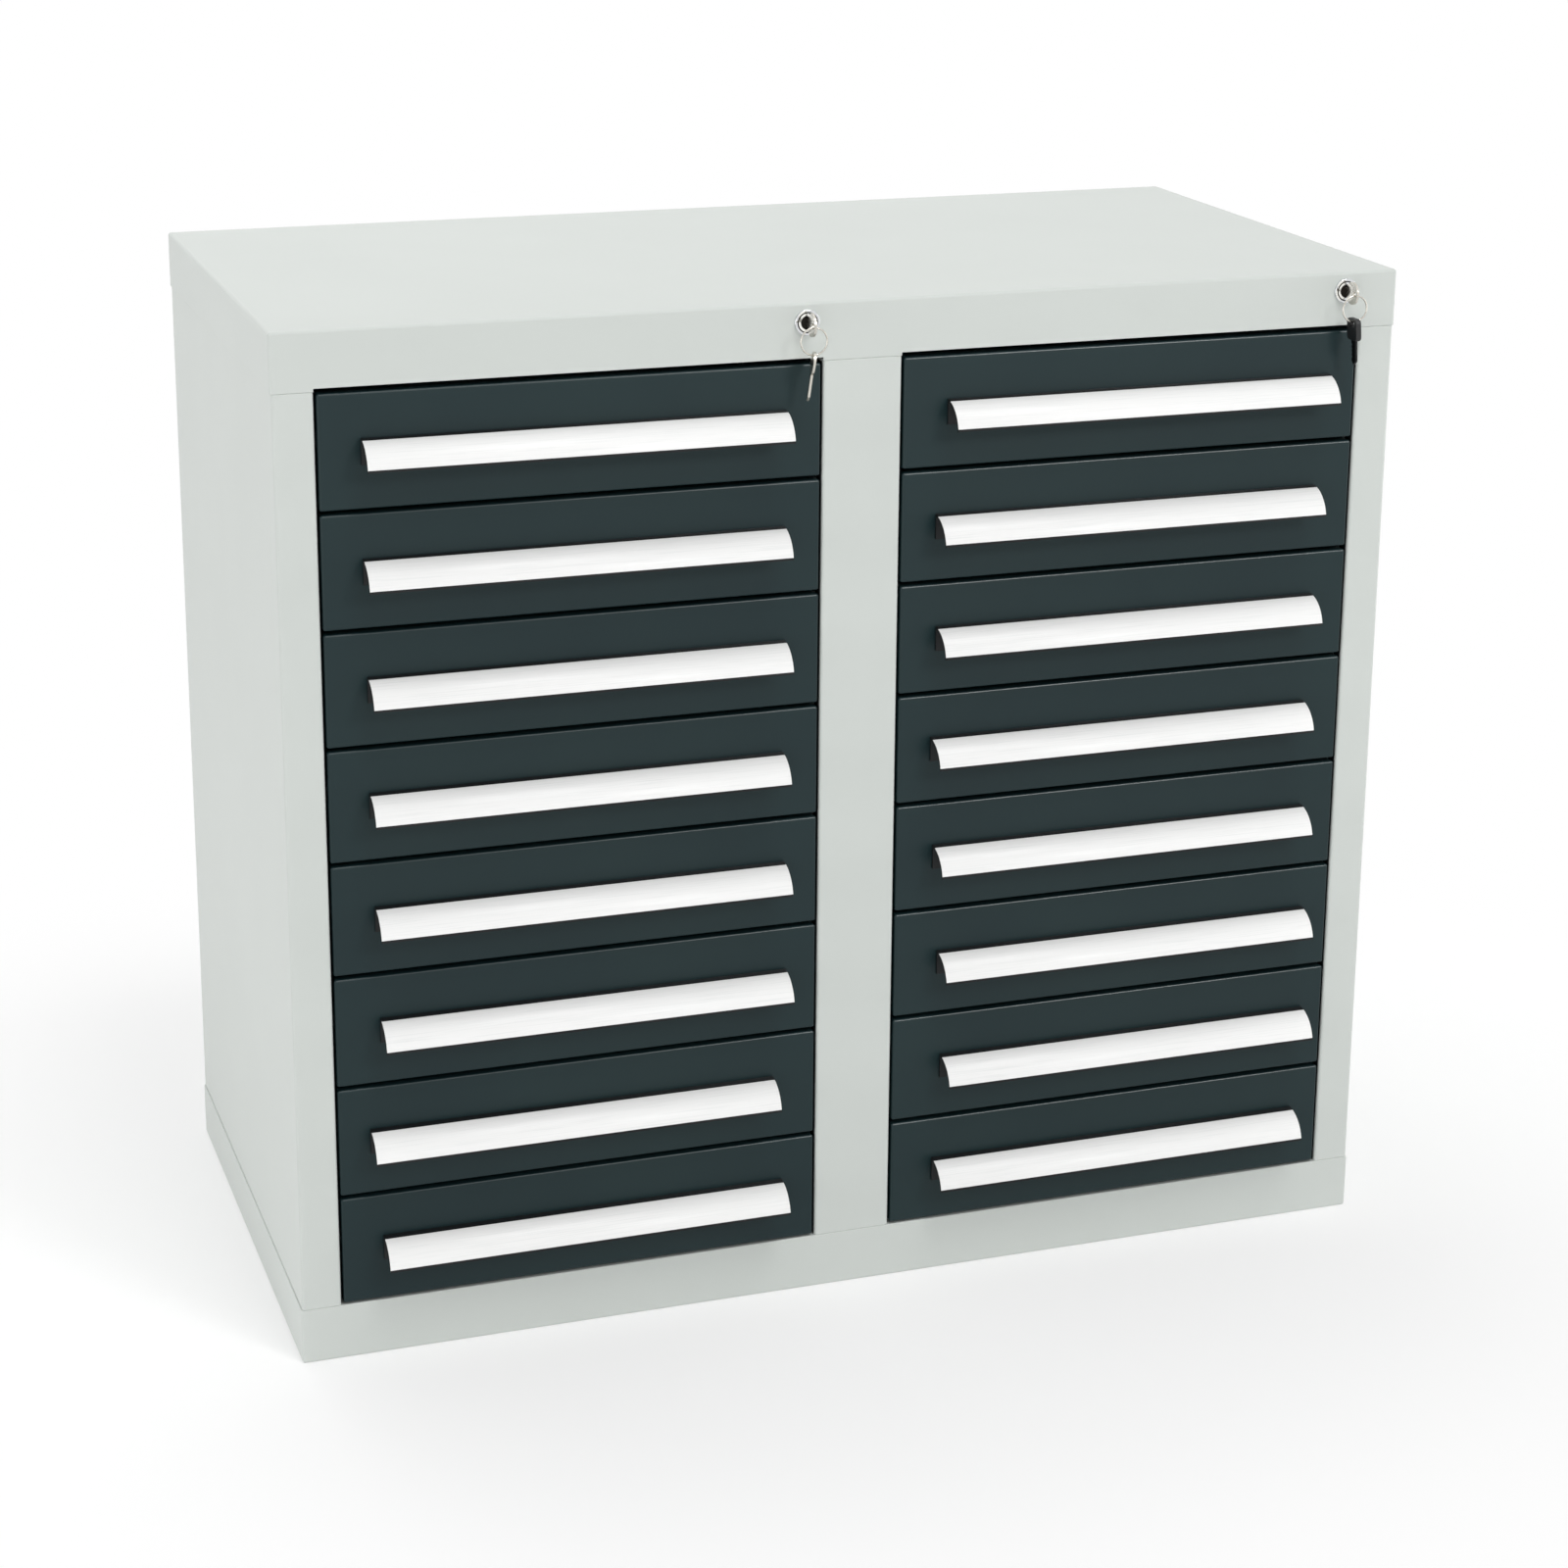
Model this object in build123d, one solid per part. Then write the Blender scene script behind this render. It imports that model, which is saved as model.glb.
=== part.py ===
from build123d import *
import math
import os

# Drawer cabinet of folded sheet steel: two banks of equal drawers under one cover, each bank with a lock.
# Millimetres. X to the right, Y to the back, Z up. The origin is the centre of the base, on the floor.

# Carcass
WIDTH = 1000.0
DEPTH = 500.0
HEIGHT = 900.0
BODY_SHEET = 1.2
BODY_BEND = 2.5
SEAM_BEND = 0.9
COVER_SKIRT = 50.0
BASE_SKIRT = 50.0
CAP_FLANGE = 12.0
COVER_RELIEF = 3.0
STILE = 35.0
SIDE_INSET = 1.2
POST = 70.0
RETURN_DEPTH = 35.0
BACK_FLANGE = 18.0

# Drawers
ROWS = 8
FRONT_GAP = 3.5
FRONT_SIDE_GAP = 2.2
FRONT_DEPTH = 15.0
FRONT_BEND = 2.0
DRAWER_SHEET = 1.0
TRAY_FLOOR_RISE = 4.0
TRAY_REAR_SPACE = 59.0
TRAY_SIDE_GAP = 14.0

# Runners on the drawers and rails on the carcass
RUNNER_DROP = 38.0
RUNNER_WIDTH = 10.5
RUNNER_HEIGHT = 10.0
RUNNING_GAP = 0.4
RAIL_SHEET = 1.2
RAIL_WIDTH = 12.0
RAIL_SETBACK = 5.0
RAIL_STOP = 2.0

# Grips: a hood-shaped profile with a label strip let into its curved face
GRIP_LENGTH = 360.0
GRIP_DROP = 39.5
GRIP_RADIUS = 27.0
GRIP_ANGLE = 82.0
GRIP_WALL = 2.0
GRIP_FLANGE = 20.0
LABEL_START_ANGLE = 14.0
LABEL_END_ANGLE = 78.0
LABEL_THICKNESS = 0.5
LABEL_GAP = 0.1
# The grips were set by eye: each stands some steps to the right or left of its drawer's middle.
GRIP_STEP = 1.0
GRIP_STEPS = {"left": (2, 1, 2, 1, 3, 5, -6, 3), "right": (7, -2, 0, -3, 1, 7, 12, 6)}

# Locks
LOCK_INSET = 15.0
LOCK_DROP = 16.5
LOCK_FLANGE_RADIUS = 11.0
LOCK_FLANGE_THICKNESS = 2.0
LOCK_GROOVE_RADIUS = 9.0
LOCK_GROOVE_WIDTH = 1.1
LOCK_GROOVE_DEPTH = 0.8
LOCK_BODY_RADIUS = 9.0
LOCK_LENGTH = 22.0
LOCK_HOLE_GAP = 0.2
NUT_FLATS = 24.0
NUT_THICKNESS = 5.0
PLUG_RADIUS = 6.0
PLUG_RUNNING_GAP = 0.05
PLUG_PROUD = 0.3
TANG_SIDE = 7.0
CAM_THICKNESS = 2.5
CAM_RADIUS = 7.0
CAM_PIN_RADIUS = 2.0
CAM_RIM = 1.0
CAM_ANGLE = 45.0
CAM_GAP = 0.5

# Keys
KEY_THICKNESS = 2.0
KEY_BOW_RADIUS = 10.0
KEY_HOLE_RADIUS = 2.5
KEY_HOLE_OFFSET = 5.5
KEY_BLADE_WIDTH = 7.0
KEY_BLADE_LENGTH = 21.5
KEY_NOTCHES = 4
KEY_NOTCH_DEPTH = 1.6
KEY_STANDOFF = 0.5
KEYWAY_GAP = 0.2
KEY_HEAD_WIDTH = 18.0
KEY_HEAD_HEIGHT = 19.5
KEY_HEAD_THICKNESS = 5.2
KEY_HEAD_CORNER = 4.0
KEY_HEAD_ROUNDING = 1.0
KEY_HEAD_RIM = 1.8
KEY_SLOT_LENGTH = 11.0
KEY_SLOT_HEIGHT = 5.6
RING_RADIUS = 11.5
RING_WIRE_RADIUS = 0.75
RING_GAP = 0.35
# The spare keys hang a little turned and leaning, as friction on the ring leaves them.
SPARE_TURN_ANGLE = {"left": -12.0, "right": 0.0}
SPARE_LEAN_ANGLE = {"left": 8.0, "right": -4.0}

# Locking bars
BAR_THICKNESS = 3.0
BAR_WIDTH = 12.0
BAR_GAP = 1.8
BAR_CLEARANCE = 2.0
BAR_TAIL = 5.0
ARM_THICKNESS = 3.0
ARM_HEIGHT = 14.0
ARM_REACH = 5.0
ARM_SLOT_GAP = 0.5
LUG_RISE = 30.0
LUG_HEIGHT = 8.0
LUG_WIDTH = 11.0
LUG_THICKNESS = 3.0
LUG_GAP = 0.5
TAB_HEIGHT = 7.0
TAB_LENGTH = 6.0
TAB_DROP = 2.0
TAB_OVERLAP = 6.0
TAB_SLOT_GAP = 1.0
GUIDE_HEIGHT = 8.0
GUIDE_WALL = 2.0
GUIDE_GAP = 0.4

# Places that follow from the sizes above
FRONT_Y = -DEPTH / 2
BACK_Y = DEPTH / 2
SIDE_X = WIDTH / 2
BANK_WIDTH = (WIDTH - 2 * STILE - POST) / 2
BANK_X = {"left": -(POST + BANK_WIDTH) / 2, "right": (POST + BANK_WIDTH) / 2}
BANK_HALF = BANK_WIDTH / 2
COVER_Z = HEIGHT - COVER_SKIRT
PITCH = (COVER_Z - BASE_SKIRT) / ROWS
LIFT = 2 * CAM_RADIUS * math.sin(math.radians(CAM_ANGLE))

FRONT_HALF = BANK_HALF - FRONT_SIDE_GAP
TRAY_HALF = BANK_HALF - TRAY_SIDE_GAP
TRAY_FRONT = FRONT_Y + DRAWER_SHEET
TRAY_REAR = BACK_Y - TRAY_REAR_SPACE
FRONT_REAR = FRONT_Y + FRONT_DEPTH
RAIL_FRONT = FRONT_REAR + RAIL_SETBACK
RAIL_REAR = BACK_Y - BACK_FLANGE - RAIL_SETBACK

LOCK_Z = HEIGHT - LOCK_DROP
LOCK_LOCAL_X = BANK_HALF - LOCK_INSET
LOCK_REAR = FRONT_Y + LOCK_LENGTH
LOCK_FACE = FRONT_Y - LOCK_FLANGE_THICKNESS
PLUG_FACE = LOCK_FACE - PLUG_PROUD
CAM_FRONT = LOCK_REAR + CAM_GAP
CAM_REAR = CAM_FRONT + CAM_THICKNESS
ARM_FRONT = CAM_REAR + CAM_GAP
ARM_REAR = ARM_FRONT + ARM_THICKNESS

BAR_FRONT = FRONT_Y + max(CAP_FLANGE, FRONT_DEPTH) + BAR_CLEARANCE
BAR_REAR = max(BAR_FRONT + BAR_WIDTH, ARM_REAR)
BAR_INNER = BANK_HALF + BODY_SHEET + BAR_GAP
BAR_OUTER = BAR_INNER + BAR_THICKNESS
LUG_FRONT = BAR_FRONT + TAB_LENGTH + LUG_GAP
TAB_TOP_RISE = LUG_RISE - TAB_DROP
TAB_BOTTOM_RISE = TAB_TOP_RISE - TAB_HEIGHT
TAB_TIP = TRAY_HALF + LUG_WIDTH - TAB_OVERLAP

KEY_HOLE_Y = PLUG_FACE - KEY_STANDOFF - KEY_BOW_RADIUS - KEY_HOLE_OFFSET
RING_HANG = KEY_HOLE_RADIUS - RING_WIRE_RADIUS - RING_GAP
RING_TOP_Z = LOCK_Z - RING_HANG
RING_BOTTOM_Z = RING_TOP_Z - 2 * RING_RADIUS
SPARE_HOLE_Z = RING_BOTTOM_Z - RING_HANG


def block(x_span, y_span, z_span):
    """A box between two limits on each axis."""
    size = [abs(high - low) for low, high in (x_span, y_span, z_span)]
    corner = [min(span) for span in (x_span, y_span, z_span)]
    return Pos(*corner) * Box(*size, align=(Align.MIN, Align.MIN, Align.MIN))


def rod(x, z, y_front, y_rear, radius):
    """A cylinder along Y."""
    return Pos(x, (y_front + y_rear) / 2, z) * Rot(90, 0, 0) * Cylinder(radius, y_rear - y_front)


def slot_bottom(row):
    """Height of the bottom of a drawer's slot. Row 1 is the top one."""
    return BASE_SKIRT + (ROWS - row) * PITCH


def edges_along(shape, axis, **limits):
    """The straight edges along an axis whose middle has the given coordinates."""
    found = shape.edges().filter_by(axis)
    for name, value in limits.items():
        found = found.filter_by(lambda edge: abs(getattr(edge.center(), name) - value) < 0.01)
    return found


def cap(z_span, flange_z_span):
    """A pan over the whole footprint, open on the side of its inward flange."""
    outer = block((-SIDE_X, SIDE_X), (FRONT_Y, BACK_Y), z_span)
    outer = fillet(outer.edges().filter_by(Axis.Z), BODY_BEND)
    closed_z, open_z = z_span
    outer = fillet(outer.faces().sort_by(lambda face: abs(face.center().Z - closed_z))[0].edges(), BODY_BEND)
    outer = fillet(outer.faces().sort_by(lambda face: abs(face.center().Z - open_z))[0].edges(), SEAM_BEND)
    wall = BODY_SHEET if closed_z < open_z else -BODY_SHEET
    inner_x = (-SIDE_X + BODY_SHEET, SIDE_X - BODY_SHEET)
    inner_y = (FRONT_Y + BODY_SHEET, BACK_Y - BODY_SHEET)
    mouth_x = (-SIDE_X + CAP_FLANGE, SIDE_X - CAP_FLANGE)
    mouth_y = (FRONT_Y + CAP_FLANGE, BACK_Y - CAP_FLANGE)
    hollow = block(inner_x, inner_y, (closed_z + wall, open_z - wall))
    return outer - hollow - block(mouth_x, mouth_y, flange_z_span)


def top_cover():
    """Cap with a hole for each lock and a little room above each bank's top front."""
    cover = cap((HEIGHT, COVER_Z), (COVER_Z, COVER_Z + BODY_SHEET))
    for centre in BANK_X.values():
        edge = (FRONT_Y, FRONT_Y + CAP_FLANGE)
        cover -= block((centre - BANK_HALF, centre + BANK_HALF), edge, (COVER_Z, COVER_Z + COVER_RELIEF))
        hole = LOCK_BODY_RADIUS + LOCK_HOLE_GAP
        cover -= rod(centre + LOCK_LOCAL_X, LOCK_Z, FRONT_Y, FRONT_Y + CAP_FLANGE, hole)
    return cover


def tab_slots(centre):
    """The cuts that a bank's locking tabs pass through and rise in."""
    cuts = []
    wall = (centre + BANK_HALF - BODY_SHEET, centre + BANK_HALF + 2 * BODY_SHEET)
    along = (BAR_FRONT - TAB_SLOT_GAP, BAR_FRONT + TAB_LENGTH + TAB_SLOT_GAP)
    for row in range(1, ROWS + 1):
        low = slot_bottom(row) + TAB_BOTTOM_RISE - TAB_SLOT_GAP
        high = slot_bottom(row) + TAB_TOP_RISE + LIFT + TAB_SLOT_GAP
        cuts.append(block(wall, along, (low, high)))
    return cuts


def side_panel():
    """The left panel: a skin folded round into stiles, returns and end flanges."""
    outside = -SIDE_X + SIDE_INSET
    inside = -SIDE_X + STILE
    body_z = (BASE_SKIRT, COVER_Z)
    panel = block((outside, inside), (FRONT_Y, BACK_Y), body_z)
    panel = fillet(panel.edges().filter_by(Axis.Z), BODY_BEND)
    for level in body_z:
        end_face = panel.faces().sort_by(lambda face: abs(face.center().Z - level))[0]
        panel = fillet(end_face.edges(), SEAM_BEND)
    hollow_y = (FRONT_Y + BODY_SHEET, BACK_Y - BODY_SHEET)
    hollow_z = (BASE_SKIRT + BODY_SHEET, COVER_Z - BODY_SHEET)
    panel -= block((outside + BODY_SHEET, inside - BODY_SHEET), hollow_y, hollow_z)
    open_y = (FRONT_Y + RETURN_DEPTH, BACK_Y - RETURN_DEPTH)
    panel -= block((inside - BODY_SHEET, inside), open_y, body_z)
    mouth_x = (-SIDE_X + CAP_FLANGE, inside - BODY_SHEET)
    panel -= block(mouth_x, hollow_y, body_z)
    return panel


def centre_partition():
    """A channel with the post as its front and a web along each bank, slotted for the left bank's tabs."""
    half = POST / 2
    body_z = (BASE_SKIRT, COVER_Z)
    channel = block((-half, half), (FRONT_Y, BACK_Y - BODY_SHEET), body_z)
    channel = fillet(edges_along(channel, Axis.Z, Y=FRONT_Y), BODY_BEND)
    front_face = channel.faces().sort_by(Axis.Y)[0]
    channel = fillet(front_face.edges().filter_by(Axis.X), SEAM_BEND)
    channel -= block((-half + BODY_SHEET, half - BODY_SHEET), (FRONT_Y + BODY_SHEET, BACK_Y), body_z)
    for cut in tab_slots(BANK_X["left"]):
        channel -= cut
    return channel


def back_panel():
    """A sheet between the rear returns, with a flange against each of them."""
    half = SIDE_X - STILE
    body_z = (BASE_SKIRT, COVER_Z)
    inner_half = half - BODY_SHEET
    flange_y = BACK_Y - BACK_FLANGE
    panel = block((-half, half), (flange_y, BACK_Y), body_z)
    return panel - block((-inner_half, inner_half), (flange_y, BACK_Y - BODY_SHEET), body_z)


def rail(centre, side, row):
    """C-section rail, open towards the drawer, with a stop behind the runner."""
    wall = centre + side * BANK_HALF
    mouth = wall - side * RAIL_WIDTH
    web = wall - side * RAIL_SHEET
    runner_top = slot_bottom(row) + PITCH - RUNNER_DROP
    inner_z = (runner_top - RUNNER_HEIGHT - RUNNING_GAP, runner_top + RUNNING_GAP)
    outer_z = (inner_z[0] - RAIL_SHEET, inner_z[1] + RAIL_SHEET)
    section = block((mouth, wall), (RAIL_FRONT, RAIL_REAR), outer_z)
    section -= block((mouth, web), (RAIL_FRONT, RAIL_REAR), inner_z)
    stop_front = TRAY_REAR + RUNNING_GAP
    return section + block((mouth, web), (stop_front, stop_front + RAIL_STOP), inner_z)


def bank_rails(centre):
    """Both rails of every drawer in a bank."""
    return [rail(centre, side, row) for row in range(1, ROWS + 1) for side in (-1, 1)]


def drawer(centre, row):
    """Folded front, tray, two runners and the catch lug of one drawer."""
    bottom = slot_bottom(row)
    runner_top = bottom + PITCH - RUNNER_DROP
    front_z = (bottom + FRONT_GAP / 2, bottom + PITCH - FRONT_GAP / 2)
    front = block((centre - FRONT_HALF, centre + FRONT_HALF), (FRONT_Y, FRONT_REAR), front_z)
    front = fillet(front.edges().filter_by(Axis.Y), FRONT_BEND)
    front = fillet(front.faces().sort_by(Axis.Y)[0].edges(), FRONT_BEND)
    hollow_x = (centre - FRONT_HALF + DRAWER_SHEET, centre + FRONT_HALF - DRAWER_SHEET)
    hollow_z = (front_z[0] + DRAWER_SHEET, front_z[1] - DRAWER_SHEET)
    front -= block(hollow_x, (TRAY_FRONT, FRONT_REAR), hollow_z)

    tray_x = (centre - TRAY_HALF, centre + TRAY_HALF)
    floor = bottom + TRAY_FLOOR_RISE
    tray = block(tray_x, (TRAY_FRONT, TRAY_REAR), (floor, runner_top))
    inside_x = (tray_x[0] + DRAWER_SHEET, tray_x[1] - DRAWER_SHEET)
    inside_y = (TRAY_FRONT + DRAWER_SHEET, TRAY_REAR - DRAWER_SHEET)
    tray -= block(inside_x, inside_y, (floor + DRAWER_SHEET, runner_top))

    pieces = [front, tray]
    along = (RAIL_FRONT, TRAY_REAR)
    for side in (-1, 1):
        root = centre + side * TRAY_HALF
        tip = root + side * RUNNER_WIDTH
        top_z = (runner_top - DRAWER_SHEET, runner_top)
        lip_z = (runner_top - RUNNER_HEIGHT, runner_top)
        lip = block((tip - side * DRAWER_SHEET, tip), along, lip_z)
        pieces.append(block((root, tip), along, top_z) + lip)
    lug_x = (tray_x[1], tray_x[1] + LUG_WIDTH)
    lug_y = (LUG_FRONT, LUG_FRONT + LUG_THICKNESS)
    pieces.append(block(lug_x, lug_y, (bottom + LUG_RISE, bottom + LUG_RISE + LUG_HEIGHT)))
    return pieces


def ring_sector(outer_radius, inner_radius, start, end):
    """Part of a ring in the grip's section plane, in degrees from straight up towards the front."""
    angles = [math.radians(angle) for angle in (start, (start + end) / 2, end)]
    outer = [(math.cos(angle) * outer_radius, math.sin(angle) * outer_radius) for angle in angles]
    inner = [(math.cos(angle) * inner_radius, math.sin(angle) * inner_radius) for angle in angles]
    outline = [
        ThreePointArc(*outer),
        Line(outer[2], inner[2]),
        ThreePointArc(*reversed(inner)),
        Line(inner[0], outer[0]),
    ]
    return make_face(outline)


def grip(centre, row, shift):
    """Hood-shaped profile against the drawer's front, and the label strip in its face."""
    apex = slot_bottom(row) + PITCH - GRIP_DROP
    # In the section plane the first axis is up and the second is out from the drawer's front.
    section = Plane((centre + shift, FRONT_Y, apex - GRIP_RADIUS), x_dir=(0, 0, 1), z_dir=(1, 0, 0))
    recess = GRIP_RADIUS - LABEL_THICKNESS - LABEL_GAP
    hood = ring_sector(GRIP_RADIUS, GRIP_RADIUS - GRIP_WALL, 0, GRIP_ANGLE)
    hood -= ring_sector(GRIP_RADIUS + LABEL_GAP, recess, LABEL_START_ANGLE, LABEL_END_ANGLE)
    flange = Pos(GRIP_RADIUS - GRIP_WALL - GRIP_FLANGE / 2, GRIP_WALL / 2) * Rectangle(GRIP_FLANGE, GRIP_WALL)
    margin = math.degrees(LABEL_GAP / GRIP_RADIUS)
    label_outer = GRIP_RADIUS - LABEL_GAP / 2
    label_inner = label_outer - LABEL_THICKNESS
    label = ring_sector(label_outer, label_inner, LABEL_START_ANGLE + margin, LABEL_END_ANGLE - margin)
    shapes = []
    for face in (hood + flange, label):
        shapes.append(extrude(section * face, GRIP_LENGTH / 2, both=True))
    return shapes


def lock_body(x):
    """Barrel with a round grooved flange and a bore for the plug."""
    body = rod(x, LOCK_Z, LOCK_FACE, FRONT_Y, LOCK_FLANGE_RADIUS)
    body = fillet(body.edges().sort_by(Axis.Y)[0], LOCK_FLANGE_THICKNESS / 3)
    groove_end = LOCK_FACE + LOCK_GROOVE_DEPTH
    groove = rod(x, LOCK_Z, LOCK_FACE, groove_end, LOCK_GROOVE_RADIUS)
    groove -= rod(x, LOCK_Z, LOCK_FACE, groove_end, LOCK_GROOVE_RADIUS - LOCK_GROOVE_WIDTH)
    body -= groove
    body += rod(x, LOCK_Z, FRONT_Y, LOCK_REAR, LOCK_BODY_RADIUS)
    return body - rod(x, LOCK_Z, LOCK_FACE, LOCK_REAR, PLUG_RADIUS)


def lock_nut(x):
    """Hexagonal nut that holds the lock in the cover's skirt."""
    front = FRONT_Y + BODY_SHEET
    outline = RegularPolygon(NUT_FLATS / 2, 6, major_radius=False) - Circle(LOCK_BODY_RADIUS + LOCK_HOLE_GAP)
    return Pos(x, front, LOCK_Z) * Rot(90, 0, 0) * extrude(outline, -NUT_THICKNESS)


def lock_plug(x):
    """Turning plug with its keyway and a square tang for the cam."""
    plug = rod(x, LOCK_Z, PLUG_FACE, CAM_FRONT, PLUG_RADIUS - PLUG_RUNNING_GAP)
    half = TANG_SIDE / 2
    plug += block((x - half, x + half), (CAM_FRONT, CAM_REAR), (LOCK_Z - half, LOCK_Z + half))
    way_x = KEY_THICKNESS / 2 + KEYWAY_GAP
    way_z = KEY_BLADE_WIDTH / 2 + KEYWAY_GAP
    way_end = PLUG_FACE - KEY_STANDOFF + KEY_BLADE_LENGTH + KEYWAY_GAP
    return plug - block((x - way_x, x + way_x), (PLUG_FACE, way_end), (LOCK_Z - way_z, LOCK_Z + way_z))


def lock_cam(x):
    """Arm on the tang with the pin that lifts the locking bar."""
    swing = math.radians(CAM_ANGLE)
    pin_x = x + CAM_RADIUS * math.cos(swing)
    pin_z = LOCK_Z - CAM_RADIUS * math.sin(swing)
    reach = CAM_RADIUS + CAM_PIN_RADIUS + CAM_RIM
    cam = rod(x, LOCK_Z, CAM_FRONT, CAM_REAR, reach)
    half = TANG_SIDE / 2
    cam -= block((x - half, x + half), (CAM_FRONT, CAM_REAR), (LOCK_Z - half, LOCK_Z + half))
    return cam + rod(pin_x, pin_z, CAM_REAR - CAM_THICKNESS / 2, ARM_REAR + CAM_GAP, CAM_PIN_RADIUS)


def key_blade():
    """Outline of the blade below the bow, with bitting along one edge, from the ring hole's centre."""
    root = -KEY_HOLE_OFFSET - KEY_BOW_RADIUS / 2
    tip = -KEY_HOLE_OFFSET - KEY_BOW_RADIUS - KEY_BLADE_LENGTH
    half = KEY_BLADE_WIDTH / 2
    shoulder = tip + half
    corners = [(-half, root), (half, root), (half, shoulder), (0, tip), (-half, shoulder)]
    blade = make_face(Polyline(*corners, close=True))
    step = (KEY_BLADE_LENGTH - half) / (KEY_NOTCHES + 1)
    for notch in range(1, KEY_NOTCHES + 1):
        level = shoulder + notch * step
        depth = half - KEY_NOTCH_DEPTH
        wide = step / 2.5
        blade -= make_face(Polyline((half, level - wide), (half, level + wide), (depth, level), close=True))
    return blade


def key_plate():
    """Flat key hanging blade down in the YZ plane, the ring hole's centre at the origin."""
    bow = Pos(0, -KEY_HOLE_OFFSET) * Circle(KEY_BOW_RADIUS)
    outline = bow + key_blade() - Circle(KEY_HOLE_RADIUS)
    return extrude(Plane.YZ * outline, KEY_THICKNESS / 2, both=True)


def headed_key():
    """Key whose bow is a thick moulded head with a slot for the ring: the blade, and the head round its root."""
    blade = extrude(Plane.YZ * key_blade(), KEY_THICKNESS / 2, both=True)
    half_x = KEY_HEAD_THICKNESS / 2
    half_y = KEY_HEAD_WIDTH / 2
    top = KEY_SLOT_HEIGHT / 2 + KEY_HEAD_RIM
    head = block((-half_x, half_x), (-half_y, half_y), (top - KEY_HEAD_HEIGHT, top))
    head = fillet(head.edges().filter_by(Axis.X), KEY_HEAD_CORNER)
    for side in (0, -1):
        head = fillet(head.faces().sort_by(Axis.X)[side].edges(), KEY_HEAD_ROUNDING)
    slot = extrude(Plane.YZ * SlotOverall(KEY_SLOT_LENGTH, KEY_SLOT_HEIGHT), half_x, both=True)
    return blade, head - slot - blade


def key_ring(x):
    """Wire ring through the bow of the key in the lock, facing forward."""
    middle = (RING_TOP_Z + RING_BOTTOM_Z) / 2
    return Pos(x, KEY_HOLE_Y, middle) * Rot(90, 0, 0) * Torus(RING_RADIUS, RING_WIRE_RADIUS)


def locking_bar(centre):
    """Strip behind the bank's right edge, its head arm round the cam's pin, and a tab for each drawer."""
    pin_x = centre + LOCK_LOCAL_X + CAM_RADIUS * math.cos(math.radians(CAM_ANGLE))
    pin_z = LOCK_Z - LIFT / 2
    far_x = centre + LOCK_LOCAL_X + CAM_RADIUS
    strip_x = (centre + BAR_INNER, centre + BAR_OUTER)
    arm_z = (pin_z - ARM_HEIGHT / 2, pin_z + ARM_HEIGHT / 2)
    room = CAM_PIN_RADIUS + ARM_SLOT_GAP
    foot = slot_bottom(ROWS) + TAB_BOTTOM_RISE - BAR_TAIL
    strip = block(strip_x, (BAR_FRONT, BAR_REAR), (foot, arm_z[1]))
    arm = block((pin_x - room - ARM_REACH, strip_x[0]), (ARM_FRONT, ARM_REAR), arm_z)
    arm -= block((pin_x - room, far_x + room), (ARM_FRONT, ARM_REAR), (pin_z - room, pin_z + room))
    pieces = [strip, arm]
    for row in range(1, ROWS + 1):
        level = slot_bottom(row)
        tab_z = (level + TAB_BOTTOM_RISE, level + TAB_TOP_RISE)
        pieces.append(block((centre + TAB_TIP, strip_x[0]), (BAR_FRONT, BAR_FRONT + TAB_LENGTH), tab_z))
    return pieces


def bar_guides():
    """Collars on the post and the right stile that the locking bars slide in."""
    collars = []
    for centre in BANK_X.values():
        seat = centre + BANK_HALF + BODY_SHEET
        hole_x = (centre + BAR_INNER - GUIDE_GAP, centre + BAR_OUTER + GUIDE_GAP)
        hole_y = (BAR_FRONT - GUIDE_GAP, BAR_REAR + GUIDE_GAP)
        outer_y = (hole_y[0] - GUIDE_WALL, hole_y[1] + GUIDE_WALL)
        for row in range(1, ROWS + 1, 3):
            middle = slot_bottom(row)
            span = (middle - GUIDE_HEIGHT / 2, middle + GUIDE_HEIGHT / 2)
            collars.append(block((seat, hole_x[1] + GUIDE_WALL), outer_y, span) - block(hole_x, hole_y, span))
    return collars


def save(node, *solids):
    """Write one node, a single solid or a group."""
    shape = solids[0] if len(solids) == 1 else Compound(list(solids))
    export_step(shape, f"parts/{node}.step")


os.makedirs("parts", exist_ok=True)

left_panel = side_panel()
right_panel = mirror(left_panel, Plane.YZ)
for cut in tab_slots(BANK_X["right"]):
    right_panel -= cut

save("top_cover", top_cover())
save("base_pan", cap((0, BASE_SKIRT), (BASE_SKIRT - BODY_SHEET, BASE_SKIRT)))
save("left_side_panel", left_panel)
save("right_side_panel", right_panel)
save("centre_partition", centre_partition())
save("back_panel", back_panel())
save("bar_guides", *bar_guides())

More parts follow.
